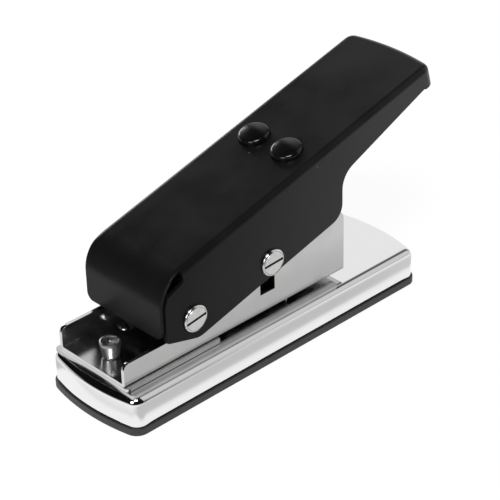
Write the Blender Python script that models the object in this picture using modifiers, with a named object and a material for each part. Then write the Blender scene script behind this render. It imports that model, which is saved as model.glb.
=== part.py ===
# A hand press that punches guitar picks out of plastic card.
# Lengths are in metres, +X runs from the nose to the tail of the base, +Z is up,
# and the origin is the middle of the face that the press stands on.

import math

import bmesh
import bpy
from mathutils import Matrix, Vector

# Base outline
base_length = 0.119
base_width = 0.038
nose_bulge = 0.0026
tail_bulge = 0.0029
nose_corner = 0.0042
tail_corner = 0.0032

# Catch tray under the base
tray_rim_height = 0.0025
tray_edge = 0.0004
tray_floor = 0.0014
tray_lip_wall = 0.0011
tray_lip_height = 0.0052
tray_proud = 0.0005

# Base shell
shell_top = 0.0120
shell_wall = 0.0010
shell_bend = 0.0015

# Clearances
seat_gap = 0.00015
slide_gap = 0.00025
pin_gap = 0.00015
cut_overrun = 0.002

# Plates between the base shell and the frame
plate_front = 0.0029
die_length = 0.0809
die_width = 0.0346
die_thickness = 0.0010
plate_corner = 0.0012
spacer_length = 0.0355
spacer_width = 0.0306
spacer_thickness = 0.00095

# Pick outline: three circles joined by bulged arcs
pick_tip_from_nose = 0.0440
pick_length = 0.0276
pick_width = 0.0236
pick_tip_radius = 0.0027
pick_shoulder_radius = 0.0062
pick_side_radius = 0.0300
pick_back_radius = 0.0260
die_gap = 0.00012
window_margin = 0.0011

# Frame, one bent sheet
frame_length = 0.0864
frame_width = 0.0280
frame_sheet = 0.0011
frame_bend = 0.0014
wall_low_height = 0.0075
wall_low_length = 0.0185
wall_low_corner = 0.0021
wall_step_fillet = 0.0030
wall_high_height = 0.0246
wall_shoulder_radius = 0.0085
wall_crown_length = 0.0440
wall_crown_radius = 0.0080
wall_tail_height = 0.0209
wall_tail_corner = 0.0035

# Lever hinge
pivot_from_nose = 0.0272
pivot_height = 0.0275
lever_open_deg = 15.0
lever_stroke_deg = 16.5

# Lever, one folded sheet, in its own axes: u from the pivot to the tail, w square to its top
lever_width = 0.0330
lever_sheet = 0.0012
lever_top = 0.01775
lever_bend = 0.0020
lever_tip = 0.1059
lever_tip_bulge = 0.0016
lever_tip_corner = 0.0033
flange_foot_u = -0.01217
flange_foot_w = 0.00057
flange_lean_deg = 15.0
flange_bend = 0.0068
cheek_front_u = -0.01036
cheek_front_w = -0.00157
cheek_low_u = -0.0003
cheek_low_w = -0.00746
cheek_low_radius = 0.0066
heel_u = 0.0591
heel_radius = 0.0055
tail_root_u = 0.06256
tail_root_w = 0.00551
tail_root_radius = 0.0072
tail_end_u = 0.1000
tail_end_w = 0.0112
lip_u = 0.1010
lip_w = 0.0107
flange_width = 0.0322
flange_slit = 0.00035
relief_width = 0.0294
relief_foot_u = -0.0091
relief_foot_w = 0.0115
relief_high_u = -0.0046
relief_high_w = 0.0166

# Pins: a headed barrel from the near side and a screw from the far side
pin_radius = 0.0020
pin_bore_radius = 0.0014
pin_screw_radius = 0.0012
pin_screw_length = 0.0110
pin_head_radius = 0.0042
pin_head_thickness = 0.0008
pin_head_edge = 0.00025
pin_slot_width = 0.0008
pin_slot_depth = 0.00045
pivot_slot_deg = 8.0
drive_slot_deg = 3.0
washer_radius = 0.0044

# Drive pin in the lever's own axes, and its slots
drive_u = 0.0303
drive_w = -0.00298
drive_slot_from_nose = 0.0577
drive_slot_width = 0.0058
drive_slot_spare = 0.0008

# Punch
punch_height = 0.0222
punch_lift = 0.0002
punch_edge = 0.0004

# Lever rivets and spring cups, in the lever's own axes
rivet_u = 0.0525
rivet_y = 0.0067
rivet_shank_radius = 0.0016
rivet_flange_radius = 0.0049
rivet_flange_height = 0.0008
rivet_dome_radius = 0.0039
rivet_dome_height = 0.0016
rivet_tail_radius = 0.0023
rivet_tail_height = 0.0008
cup_radius = 0.0048
cup_wall = 0.0006
cup_base = 0.0008
cup_depth = 0.0024

# Return springs and the studs that they stand on
stud_from_nose = 0.0800
stud_shank_radius = 0.0015
stud_flange_radius = 0.0042
stud_flange_height = 0.0008
stud_spigot_radius = 0.0017
stud_spigot_height = 0.0036
stud_spigot_edge = 0.0005
spring_wire_radius = 0.00042
spring_coil_radius = 0.00315
spring_end_pitch = 0.00135
spring_curls = 9
spring_end_curls = 1
spring_points_per_curl = 9
spring_seat_gap = 0.00075

# Rivets of the frame, and of the die plate's tail
post_from_nose = 0.0098
post_shank_radius = 0.0019
post_foot_radius = 0.00235
post_top_radius = 0.00305
post_height = 0.0049
post_edge = 0.0004
post_recess_radius = 0.0016
post_recess_depth = 0.0012
clinch_radius_share = 1.45
clinch_height = 0.0008
floor_rivet_from_nose = 0.0230
floor_rivet_y = 0.0088
floor_rivet_shank_radius = 0.0014
floor_rivet_head_radius = 0.0027
floor_rivet_head_height = 0.0011
die_rivet_from_nose = 0.0783
die_rivet_y = 0.0085
die_rivet_radius = 0.0015
die_rivet_sink = 0.0001

# Fineness of round shapes
turn_steps = 36
bore_steps = 32
corner_steps = 6
bulge_steps = 8
bend_steps = 4
pick_tip_steps = 8
pick_side_steps = 8
merge_distance = 0.000001

# Heights that follow from the stack
nose_x = -base_length / 2
tail_x = base_length / 2
plate_x = nose_x + plate_front
die_bottom = shell_top + seat_gap
die_top = die_bottom + die_thickness
spacer_bottom = die_top + seat_gap
spacer_top = spacer_bottom + spacer_thickness
frame_bottom = spacer_top + seat_gap
floor_top = frame_bottom + frame_sheet
frame_outer = frame_width / 2
lever_outer = lever_width / 2
lever_inner = lever_outer - lever_sheet
pivot_x = nose_x + pivot_from_nose
lever_open = math.radians(lever_open_deg)
lever_stroke = math.radians(lever_stroke_deg)
flange_lean = math.radians(flange_lean_deg)


def clear_scene():
    for item in list(bpy.data.objects):
        bpy.data.objects.remove(item, do_unlink=True)


def new_collection(name):
    group = bpy.data.collections.new(name)
    bpy.context.scene.collection.children.link(group)
    return group


def new_material(name, colour, roughness, metallic):
    finish = bpy.data.materials.new(name)
    finish.use_nodes = True
    shader = finish.node_tree.nodes["Principled BSDF"]
    shader.inputs["Base Color"].default_value = (*colour, 1.0)
    shader.inputs["Roughness"].default_value = roughness
    shader.inputs["Metallic"].default_value = metallic
    return finish


clear_scene()
press = new_collection("guitar_pick_punch")
cutters = new_collection("cutters")

chrome = new_material("chrome", (0.86, 0.86, 0.88), 0.08, 1.0)
nickel = new_material("nickel", (0.74, 0.74, 0.73), 0.26, 1.0)
die_steel = new_material("die_steel", (0.60, 0.60, 0.61), 0.20, 1.0)
spring_steel = new_material("spring_steel", (0.45, 0.45, 0.47), 0.30, 1.0)
black_enamel = new_material("black_enamel", (0.012, 0.012, 0.013), 0.38, 0.0)
black_plastic = new_material("black_plastic", (0.020, 0.020, 0.021), 0.55, 0.0)
nylon = new_material("nylon", (0.75, 0.75, 0.72), 0.50, 0.0)


def place(name, data, finish, group=press, parent=None):
    """Links an object and gives it a material and a parent."""
    item = bpy.data.objects.new(name, data)
    group.objects.link(item)
    item.parent = parent
    if finish:
        data.materials.append(finish)
    if group == cutters:
        item.hide_render = True
        item.display_type = "WIRE"
    return item


def mesh_from(name, bm, smooth_deg=35.0):
    mesh = bpy.data.meshes.new(name)
    bm.to_mesh(mesh)
    bm.free()
    mesh.shade_smooth()
    mesh.set_sharp_from_angle(angle=math.radians(smooth_deg))
    return mesh


def cut(item, cutter, operation="DIFFERENCE"):
    step = item.modifiers.new(cutter.name, "BOOLEAN")
    step.operation = operation
    step.solver = "EXACT"
    step.object = cutter


def arc(centre, radius, start, end, steps):
    """Points on an arc, both ends included."""
    turn = (end - start) / steps
    angles = [start + turn * i for i in range(steps + 1)]
    return [
        (centre[0] + radius * math.cos(a), centre[1] + radius * math.sin(a))
        for a in angles
    ]


def bulged_end(width, bulge, corner):
    """The bulge's radius, its angle to the corner, and where the corner's centre lies from its own."""
    half = width / 2
    radius = (half**2 + bulge**2) / (2 * bulge)
    side = half - corner
    reach = math.sqrt((radius - corner) ** 2 - side**2)
    return radius, math.atan2(side, reach), reach, side


def plan_outline(front, rear, width, bulges, corners, inset=0.0):
    """A plan outline with bulged ends and round corners, drawn in by an inset."""
    radius_f, angle_f, reach_f, side_f = bulged_end(width, bulges[0], corners[0])
    radius_r, angle_r, reach_r, side_r = bulged_end(width, bulges[1], corners[1])
    centre_f = front + radius_f
    centre_r = rear - radius_r
    corner_f = corners[0] - inset
    corner_r = corners[1] - inset
    quarter = math.pi / 2
    points = arc((centre_r + reach_r, -side_r), corner_r, -quarter, -angle_r, corner_steps)
    points += arc((centre_r, 0), radius_r - inset, -angle_r, angle_r, bulge_steps)[1:-1]
    points += arc((centre_r + reach_r, side_r), corner_r, angle_r, quarter, corner_steps)
    points += arc(
        (centre_f - reach_f, side_f), corner_f, quarter, math.pi - angle_f, corner_steps
    )
    points += arc(
        (centre_f, 0), radius_f - inset, math.pi - angle_f, math.pi + angle_f, bulge_steps
    )[1:-1]
    points += arc(
        (centre_f - reach_f, -side_f), corner_f, math.pi + angle_f, 3 * quarter, corner_steps
    )
    return points


def base_outline(inset):
    return plan_outline(
        nose_x, tail_x, base_width, (nose_bulge, tail_bulge), (nose_corner, tail_corner), inset
    )


def stacked_rings(outline, levels, cap_start=True, cap_end=True):
    """A skin through one outline drawn at several insets and heights."""
    bm = bmesh.new()
    rings = [[bm.verts.new((x, y, z)) for x, y in outline(inset)] for inset, z in levels]
    for low, high in zip(rings, rings[1:]):
        count = len(low)
        for i in range(count):
            j = (i + 1) % count
            bm.faces.new((low[i], low[j], high[j], high[i]))
    if cap_start:
        bm.faces.new(list(reversed(rings[0])))
    if cap_end:
        bm.faces.new(rings[-1])
    bmesh.ops.recalc_face_normals(bm, faces=bm.faces)
    return bm


def edge_levels(inset, z, radius, steps, rising=True):
    """Insets and heights round a bend of a given radius that ends at height z."""
    levels = []
    for i in range(steps + 1):
        turn = (math.pi / 2) * i / steps
        drawn_in = radius * (1 - math.cos(turn))
        below = radius * (1 - math.sin(turn))
        levels.append((inset + drawn_in, z - below if rising else z + below))
    return levels


def round_corners(corners, steps=corner_steps):
    """A closed outline from corners (x, y, radius), with each corner filleted."""
    points = []
    count = len(corners)
    for i in range(count):
        corner = Vector(corners[i][:2])
        radius = corners[i][2]
        if radius == 0:
            points.append(tuple(corner))
            continue
        back = (Vector(corners[i - 1][:2]) - corner).normalized()
        on = (Vector(corners[(i + 1) % count][:2]) - corner).normalized()
        half = math.acos(max(-1.0, min(1.0, back.dot(on)))) / 2
        middle = (back + on).normalized()
        centre = corner + middle * (radius / math.sin(half))
        start = corner + back * (radius / math.tan(half)) - centre
        end = corner + on * (radius / math.tan(half)) - centre
        first = math.atan2(start.y, start.x)
        turn = (math.atan2(end.y, end.x) - first + math.pi) % (2 * math.pi) - math.pi
        points += arc(centre, radius, first, first + turn, steps)
    return points


def side_axes(a, b, depth):
    return (a, depth, b)


def plan_axes(a, b, depth):
    return (a, b, depth)


def slab(name, points, low, high, axes, finish=None, group=cutters, parent=None):
    """A prism as an object."""
    bm = bmesh.new()
    bottom = [bm.verts.new(axes(a, b, low)) for a, b in points]
    top = [bm.verts.new(axes(a, b, high)) for a, b in points]
    count = len(points)
    bm.faces.new(bottom)
    bm.faces.new(list(reversed(top)))
    for i in range(count):
        j = (i + 1) % count
        bm.faces.new((bottom[j], bottom[i], top[i], top[j]))
    bmesh.ops.recalc_face_normals(bm, faces=bm.faces)
    return place(name, mesh_from(name, bm), finish, group, parent)


def pierce(item, name, points, low, high, axes, operation="DIFFERENCE"):
    """Cuts an item with a prism that rides on the same parent."""
    cut(item, slab(name, points, low, high, axes, None, cutters, item.parent), operation)


def bore(item, name, radius, start, end):
    """Cuts a round hole between two points."""
    start = Vector(start)
    end = Vector(end)
    bm = bmesh.new()
    bmesh.ops.create_cone(
        bm,
        cap_ends=True,
        segments=bore_steps,
        radius1=radius,
        radius2=radius,
        depth=(end - start).length,
    )
    turn = (end - start).to_track_quat("Z", "Y").to_matrix().to_4x4()
    bmesh.ops.transform(bm, matrix=Matrix.Translation((start + end) / 2) @ turn, verts=bm.verts)
    cut(item, place(name, mesh_from(name, bm), None, cutters, item.parent))


def circle(x, y, radius, steps=bore_steps):
    return arc((x, y), radius, 0, 2 * math.pi, steps)[:-1]


def flat_plate(name, loops, low, thickness, finish):
    """A plate from a flat outline, with the later loops as its holes."""
    curve = bpy.data.curves.new(name, "CURVE")
    curve.dimensions = "2D"
    curve.fill_mode = "BOTH"
    curve.extrude = thickness / 2
    for loop in loops:
        spline = curve.splines.new("POLY")
        spline.points.add(len(loop) - 1)
        for point, (x, y) in zip(spline.points, loop):
            point.co = (x, y, 0, 1)
        spline.use_cyclic_u = True
    item = place(name, curve, finish)
    item.location.z = low + thickness / 2
    return item


def turned(name, profile, finish, parent=None, steps=turn_steps):
    """A round piece from the profile of its outer side, given from top to bottom."""
    mesh = bpy.data.meshes.new(name)
    verts = [(radius, 0, z) for radius, z in profile]
    edges = [(i, i + 1) for i in range(len(profile) - 1)]
    mesh.from_pydata(verts, edges, [])
    item = place(name, mesh, finish, press, parent)
    spin = item.modifiers.new("spin", "SCREW")
    spin.axis = "Z"
    spin.angle = 2 * math.pi
    spin.steps = steps
    spin.render_steps = steps
    spin.use_merge_vertices = True
    spin.merge_threshold = merge_distance
    spin.use_smooth_shade = True
    return item


def dome_profile(radius, height, base_z, steps):
    """Points over a dome from its crown to its rim."""
    sphere = (radius**2 + height**2) / (2 * height)
    open_angle = math.asin(radius / sphere)
    points = []
    for i in range(steps + 1):
        lean = open_angle * i / steps
        points.append((sphere * math.sin(lean), base_z + height - sphere * (1 - math.cos(lean))))
    points[0] = (0, points[0][1])
    return points


def lever_to_world(u, w, pressed=0.0):
    """Where a point of the lever lies, with the lever pressed by an angle from rest."""
    tilt = lever_open - pressed
    x = pivot_x + u * math.cos(tilt) - w * math.sin(tilt)
    z = pivot_height + u * math.sin(tilt) + w * math.cos(tilt)
    return x, z


def bulge_between(first, second, bulge):
    """The centre of the arc that joins two circles (x, y, radius) tangentially from outside."""
    a = Vector(first[:2])
    b = Vector(second[:2])
    reach_a = bulge - first[2]
    reach_b = bulge - second[2]
    span = (b - a).length
    along = (reach_a**2 - reach_b**2 + span**2) / (2 * span)
    off = math.sqrt(reach_a**2 - along**2)
    unit = (b - a) / span
    left = Vector((-unit.y, unit.x))
    return a + unit * along + left * off


def pick_outline(margin=0.0):
    """The pick's outline, tip towards the nose, grown by a margin."""
    tip_x = nose_x + pick_tip_from_nose
    tip = (tip_x + pick_tip_radius, 0, pick_tip_radius)
    back_x = tip_x + pick_length
    side = pick_width / 2 - pick_shoulder_radius
    bulge = pick_back_radius - pick_shoulder_radius
    shoulder_x = back_x - pick_back_radius + math.sqrt(bulge**2 - side**2)
    near = (shoulder_x, -side, pick_shoulder_radius)
    far = (shoulder_x, side, pick_shoulder_radius)
    circles = [tip, near, far]
    radii = [pick_side_radius, pick_back_radius, pick_side_radius]
    centres = [bulge_between(circles[i], circles[(i + 1) % 3], radii[i]) for i in range(3)]
    points = []
    for i in range(3):
        here = Vector(circles[i][:2])
        leave = here - centres[i]
        arrive = here - centres[i - 1]
        start = math.atan2(arrive.y, arrive.x)
        turn = (math.atan2(leave.y, leave.x) - start) % (2 * math.pi)
        points += arc(here, circles[i][2] + margin, start, start + turn, pick_tip_steps)
        following = Vector(circles[(i + 1) % 3][:2]) - centres[i]
        first = math.atan2(leave.y, leave.x)
        sweep = (math.atan2(following.y, following.x) - first) % (2 * math.pi)
        edge = arc(centres[i], radii[i] + margin, first, first + sweep, pick_side_steps)
        points += edge[1:-1]
    return points


def plate_outline(length, width):
    corners = [
        (plate_x, -width / 2, plate_corner),
        (plate_x + length, -width / 2, plate_corner),
        (plate_x + length, width / 2, plate_corner),
        (plate_x, width / 2, plate_corner),
    ]
    return round_corners(corners)


def stack_holes(gap=pin_gap):
    """Holes for the rivets that hold the frame, the plates and the base shell together."""
    floor_x = nose_x + floor_rivet_from_nose
    return [
        circle(nose_x + post_from_nose, 0, post_shank_radius + gap),
        circle(floor_x, floor_rivet_y, floor_rivet_shank_radius + gap),
        circle(floor_x, -floor_rivet_y, floor_rivet_shank_radius + gap),
    ]


def die_rivet_holes():
    die_x = nose_x + die_rivet_from_nose
    return [circle(die_x, side * die_rivet_y, die_rivet_radius + pin_gap) for side in (-1, 1)]


def make_catch_tray():
    lip_outer = tray_proud + shell_wall + seat_gap
    lip_inner = lip_outer + tray_lip_wall
    levels = [
        (tray_edge, 0),
        (0, tray_edge),
        (0, tray_rim_height),
        (lip_outer, tray_rim_height),
        (lip_outer, tray_lip_height),
        (lip_inner, tray_lip_height),
        (lip_inner, tray_floor),
    ]
    bm = stacked_rings(base_outline, levels)
    place("catch_tray", mesh_from("catch_tray", bm), black_plastic)


def make_base_shell():
    """Open skin of the pressed base, thickened inwards and pierced for the die and the rivets."""
    levels = [(tray_proud, tray_rim_height + seat_gap)]
    levels += edge_levels(tray_proud, shell_top, shell_bend, bend_steps)
    bm = stacked_rings(base_outline, levels, cap_start=False)
    shell = place("base_shell", mesh_from("base_shell", bm), chrome)
    wall = shell.modifiers.new("wall", "SOLIDIFY")
    wall.thickness = shell_wall
    wall.offset = -1
    low = shell_top - shell_wall - cut_overrun
    high = shell_top + cut_overrun
    pierce(shell, "base_window", pick_outline(window_margin), low, high, plan_axes)
    for i, loop in enumerate(stack_holes() + die_rivet_holes()):
        pierce(shell, f"base_hole_{i}", loop, low, high, plan_axes)


def make_plates():
    die = [plate_outline(die_length, die_width), pick_outline(die_gap)]
    die += stack_holes() + die_rivet_holes()
    flat_plate("die_plate", die, die_bottom, die_thickness, die_steel)
    spacer = [plate_outline(spacer_length, spacer_width)] + stack_holes()
    flat_plate("spacer_plate", spacer, spacer_bottom, spacer_thickness, nickel)


def frame_profile():
    """Side outline of the frame's walls, cut below the floor."""
    under = frame_bottom - cut_overrun
    low = frame_bottom + wall_low_height
    high = frame_bottom + wall_high_height
    step = plate_x + wall_low_length
    crown = step + wall_crown_length
    rear = plate_x + frame_length
    corners = [
        (plate_x, under, 0),
        (rear, under, 0),
        (rear, frame_bottom + wall_tail_height, wall_tail_corner),
        (crown, high, wall_crown_radius),
        (step, high, wall_shoulder_radius),
        (step, low, wall_step_fillet),
        (plate_x, low, wall_low_corner),
    ]
    return round_corners(corners)


def make_frame():
    """A folded channel: its section drawn along X, then trimmed to its side outline."""
    high = frame_bottom + wall_high_height + cut_overrun
    centre_y = frame_outer - frame_bend
    centre_z = frame_bottom + frame_bend
    section = [(-frame_outer, high)]
    section += arc((-centre_y, centre_z), frame_bend, math.pi, 1.5 * math.pi, bend_steps)
    section += arc((centre_y, centre_z), frame_bend, 1.5 * math.pi, 2 * math.pi, bend_steps)
    section += [(frame_outer, high)]
    bm = bmesh.new()
    front = plate_x - cut_overrun
    rear = plate_x + frame_length + cut_overrun
    first = [bm.verts.new((front, y, z)) for y, z in section]
    last = [bm.verts.new((rear, y, z)) for y, z in section]
    for i in range(len(section) - 1):
        bm.faces.new((first[i], last[i], last[i + 1], first[i + 1]))
    frame = place("frame", mesh_from("frame", bm), nickel)
    wall = frame.modifiers.new("wall", "SOLIDIFY")
    wall.thickness = frame_sheet
    wall.offset = 1
    reach = frame_outer + cut_overrun
    pierce(frame, "frame_trim", frame_profile(), -reach, reach, side_axes, "INTERSECT")
    bore(
        frame,
        "frame_pivot_bore",
        pin_radius + pin_gap,
        (pivot_x, -reach, pivot_height),
        (pivot_x, reach, pivot_height),
    )
    slot_x = nose_x + drive_slot_from_nose
    half = drive_slot_width / 2
    slot_top = lever_to_world(drive_u, drive_w)[1] + pin_radius + slide_gap
    pin_low = lever_to_world(drive_u, drive_w, lever_stroke)[1] - pin_radius
    slot_floor = pin_low - drive_slot_spare
    slot = [
        (slot_x - half, slot_floor),
        (slot_x + half, slot_floor),
        (slot_x + half, slot_top),
        (slot_x - half, slot_top),
    ]
    pierce(frame, "frame_drive_slot", slot, -reach, reach, side_axes)
    low = frame_bottom - cut_overrun
    above = floor_top + cut_overrun
    pierce(frame, "frame_guide_hole", pick_outline(slide_gap), low, above, plan_axes)
    stud_x = nose_x + stud_from_nose
    studs = [circle(stud_x, side * rivet_y, stud_shank_radius + pin_gap) for side in (-1, 1)]
    for i, loop in enumerate(stack_holes() + studs):
        pierce(frame, f"frame_hole_{i}", loop, low, above, plan_axes)


def lever_outline(inset):
    return plan_outline(
        flange_foot_u - lever_bend * 2,
        lever_tip,
        lever_width,
        (lever_tip_bulge, lever_tip_bulge),
        (lever_tip_corner, lever_tip_corner),
        inset,
    )


def flange_point(w, inwards=0.0):
    """The lever's front flange at a height w, or its face a sheet further in."""
    u = flange_foot_u + (w - flange_foot_w) * math.tan(flange_lean)
    return u + inwards / math.cos(flange_lean), w


def front_trim(top, inwards, bend):
    """Outline of what is cut off in front of the flange and over its bend."""
    low = cheek_low_w - lever_bend
    over = top + lever_bend
    front = flange_foot_u - lever_bend * 3
    foot = flange_point(low, inwards)
    crown = flange_point(top, inwards)
    bend_length = bend * math.tan((math.pi / 2 - flange_lean) / 2)
    after = crown[0] + bend_length
    corners = [
        (front, low, 0),
        (foot[0], foot[1], 0),
        (crown[0], crown[1], bend),
        (after, top, 0),
        (after, over, 0),
        (front, over, 0),
    ]
    return round_corners(corners)


def belly_trim():
    """Outline of what is cut away under the lever's cheeks, tail and lip."""
    under = cheek_low_w - lever_bend * 2
    front = flange_foot_u - lever_bend * 3
    rear = lever_tip + lever_bend
    corners = [
        (front, flange_foot_w, 0),
        (flange_foot_u, flange_foot_w, 0),
        (cheek_front_u, cheek_front_w, 0),
        (cheek_low_u, cheek_low_w, cheek_low_radius),
        (heel_u, cheek_low_w, heel_radius),
        (tail_root_u, tail_root_w, tail_root_radius),
        (tail_end_u, tail_end_w, 0),
        (lip_u, lip_w, 0),
        (rear, lip_w, 0),
        (rear, under, 0),
        (front, under, 0),
    ]
    return round_corners(corners)


def flange_strip(inwards, depth):
    """Outline of a strip along the flange, below the relief of its bend."""
    low = cheek_low_w - lever_bend
    ends = [(low, inwards), (low, inwards + depth)]
    ends += [(relief_foot_w, inwards + depth), (relief_foot_w, inwards)]
    return [flange_point(w, shift) for w, shift in ends]


def corner_relief():
    """Outline of what is cut off a cheek's upper corner, beside the flange's bend."""
    front = flange_foot_u - lever_bend
    over = lever_top + lever_bend
    lean = (relief_high_u - relief_foot_u) / (relief_high_w - relief_foot_w)
    behind = relief_high_u + (over - relief_high_w) * lean
    return [
        (front, relief_foot_w),
        (relief_foot_u, relief_foot_w),
        (relief_high_u, relief_high_w),
        (behind, over),
        (front, over),
    ]


def make_lever(pivot):
    """A folded cover: a round-edged block, trimmed, hollowed and pierced."""
    reach = lever_outer + cut_overrun
    levels = [(0, cheek_low_w - lever_bend)]
    levels += edge_levels(0, lever_top, lever_bend, bend_steps)
    bm = stacked_rings(lever_outline, levels)
    lever = place("lever", mesh_from("lever", bm), black_enamel, press, pivot)
    front = front_trim(lever_top, 0, flange_bend)
    pierce(lever, "lever_front_trim", front, -reach, reach, side_axes)
    pierce(lever, "lever_belly_trim", belly_trim(), -reach, reach, side_axes)
    inner_top = lever_top - lever_sheet
    levels = [(lever_sheet, cheek_low_w - lever_bend * 3)]
    levels += edge_levels(lever_sheet, inner_top, lever_bend - lever_sheet, bend_steps)
    bm = stacked_rings(lever_outline, levels)
    hollow = place("lever_hollow", mesh_from("lever_hollow", bm), None, cutters, pivot)
    front = front_trim(inner_top, lever_sheet, flange_bend - lever_sheet)
    pierce(hollow, "lever_hollow_trim", front, -reach, reach, side_axes)
    cut(lever, hollow)
    edge = flange_strip(-lever_sheet, lever_sheet * 2 + flange_slit)
    behind = flange_strip(lever_sheet, flange_slit)
    inside = lever_inner - lever_sheet
    for name, side in (("near", -1), ("far", 1)):
        trim = sorted((side * flange_width / 2, side * reach))
        pierce(lever, f"lever_flange_trim_{name}", edge, *trim, side_axes)
        slit = sorted((side * inside, side * reach))
        pierce(lever, f"lever_flange_slit_{name}", behind, *slit, side_axes)
        relief = sorted((side * relief_width / 2, side * reach))
        pierce(lever, f"lever_relief_{name}", corner_relief(), *relief, side_axes)
        bore(
            lever,
            f"lever_rivet_bore_{name}",
            rivet_shank_radius + pin_gap,
            (rivet_u, side * rivet_y, lever_top - lever_bend),
            (rivet_u, side * rivet_y, lever_top + lever_bend),
        )
    for name, u, w in (("pivot", 0, 0), ("drive", drive_u, drive_w)):
        ends = ((u, -reach, w), (u, reach, w))
        bore(lever, f"lever_{name}_bore", pin_radius + pin_gap, *ends)


def pin_pair(name, parent, u, w, slot_deg):
    """A slotted barrel whose head is on the near side, and the screw that closes it."""
    face = lever_outer + seat_gap
    outer = face + pin_head_thickness
    end = lever_outer - seat_gap
    barrel = turned(
        f"{name}_barrel",
        [
            (0, outer),
            (pin_head_radius - pin_head_edge, outer),
            (pin_head_radius, outer - pin_head_edge),
            (pin_head_radius, face),
            (pin_radius, face),
            (pin_radius, -end),
            (pin_bore_radius, -end),
            (pin_bore_radius, -end + pin_screw_length + seat_gap),
            (0, -end + pin_screw_length + seat_gap),
        ],
        nickel,
        parent,
    )
    barrel.location = (u, 0, w)
    barrel.rotation_euler = (math.pi / 2, 0, 0)
    screw = turned(
        f"{name}_screw",
        [
            (0, outer),
            (pin_head_radius - pin_head_edge, outer),
            (pin_head_radius, outer - pin_head_edge),
            (pin_head_radius, face),
            (pin_screw_radius, face),
            (pin_screw_radius, face - pin_screw_length),
            (0, face - pin_screw_length),
        ],
        nickel,
        parent,
    )
    screw.location = (u, 0, w)
    screw.rotation_euler = (-math.pi / 2, 0, 0)
    for item, side in ((barrel, -1), (screw, 1)):
        length = pin_head_radius + cut_overrun
        half = pin_slot_width / 2
        blade = [(-length, -half), (length, -half), (length, half), (-length, half)]
        ends = sorted((side * (outer - pin_slot_depth), side * (outer + cut_overrun)))
        tool = slab(
            f"{item.name}_slot", blade, ends[0], ends[1], side_axes, None, cutters, parent
        )
        tool.location = (u, 0, w)
        tool.rotation_euler = (0, -math.radians(slot_deg), 0)
        cut(item, tool)


def washer_pair(name, parent, u, w):
    """Nylon washers on a pin, between the frame and the lever's cheeks."""
    inner = frame_outer + seat_gap
    outer = lever_inner - seat_gap
    for end, side in (("near", -1), ("far", 1)):
        washer = turned(
            f"{name}_washer_{end}",
            [
                (pin_radius + pin_gap, outer),
                (washer_radius, outer),
                (washer_radius, inner),
                (pin_radius + pin_gap, inner),
                (pin_radius + pin_gap, outer),
            ],
            nylon,
            parent,
        )
        washer.location = (u, 0, w)
        washer.rotation_euler = (-side * math.pi / 2, 0, 0)


def make_punch():
    """A pick-shaped column with a cross slot for the drive pin."""
    z = lever_to_world(drive_u, drive_w)[1]
    low = frame_bottom + punch_lift
    bm = bmesh.new()
    outline = pick_outline()
    bottom = [bm.verts.new((a, b, low)) for a, b in outline]
    face = bm.faces.new(bottom)
    grown = bmesh.ops.extrude_face_region(bm, geom=[face])
    top = [v for v in grown["geom"] if isinstance(v, bmesh.types.BMVert)]
    bmesh.ops.translate(bm, vec=(0, 0, punch_height), verts=top)
    bmesh.ops.recalc_face_normals(bm, faces=bm.faces)
    crown = [e for e in bm.edges if all(v.co.z > low + punch_height / 2 for v in e.verts)]
    bmesh.ops.bevel(
        bm,
        geom=crown,
        offset=punch_edge,
        offset_type="OFFSET",
        segments=1,
        profile=0.5,
        affect="EDGES",
        material=-1,
    )
    punch = place("punch", mesh_from("punch", bm), die_steel)
    reach = pick_width
    half_x = drive_slot_width / 2
    half_z = pin_radius + pin_gap
    mid = nose_x + drive_slot_from_nose
    slot = round_corners(
        [
            (mid - half_x, z - half_z, half_z / 2),
            (mid + half_x, z - half_z, half_z / 2),
            (mid + half_x, z + half_z, half_z / 2),
            (mid - half_x, z + half_z, half_z / 2),
        ]
    )
    pierce(punch, "punch_cross_slot", slot, -reach, reach, side_axes)


def make_lever_rivets(pivot):
    """Domed rivets through the lever's top, each with the spring cup that it holds."""
    inner_top = lever_top - lever_sheet
    cup_top = inner_top - seat_gap
    cup_face = cup_top - cup_base
    tail_top = cup_face - seat_gap
    for name, side in (("near", -1), ("far", 1)):
        flange_z = lever_top + seat_gap
        dome_z = flange_z + rivet_flange_height
        profile = dome_profile(rivet_dome_radius, rivet_dome_height, dome_z, bend_steps + 1)
        profile += [
            (rivet_flange_radius - rivet_flange_height / 2, dome_z),
            (rivet_flange_radius, dome_z - rivet_flange_height / 2),
            (rivet_flange_radius, flange_z),
            (rivet_shank_radius, flange_z),
            (rivet_shank_radius, tail_top),
            (rivet_tail_radius, tail_top),
            (rivet_shank_radius, tail_top - rivet_tail_height),
            (0, tail_top - rivet_tail_height),
        ]
        rivet = turned(f"lever_rivet_{name}", profile, black_enamel, pivot)
        rivet.location = (rivet_u, side * rivet_y, 0)
        hole = rivet_shank_radius + pin_gap
        cup = turned(
            f"spring_cup_{name}",
            [
                (hole, cup_top),
                (cup_radius - cup_wall, cup_top),
                (cup_radius, cup_top - cup_wall),
                (cup_radius, cup_top - cup_depth),
                (cup_radius - cup_wall, cup_top - cup_depth),
                (cup_radius - cup_wall, cup_face),
                (hole, cup_face),
                (hole, cup_top),
            ],
            nickel,
            pivot,
        )
        cup.location = (rivet_u, side * rivet_y, 0)
    return cup_face


def spring_points(length):
    """A coil with close end turns, from its foot at zero to its length."""
    curls = spring_curls
    ends = spring_end_curls
    open_pitch = (length - 2 * ends * spring_end_pitch) / (curls - 2 * ends)
    points = []
    for i in range(curls * spring_points_per_curl + 1):
        turn = i / spring_points_per_curl
        first = min(turn, ends)
        last = max(turn - (curls - ends), 0)
        middle = turn - first - last
        height = (first + last) * spring_end_pitch + middle * open_pitch
        angle = 2 * math.pi * turn
        points.append(
            (spring_coil_radius * math.cos(angle), spring_coil_radius * math.sin(angle), height)
        )
    return points


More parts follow.
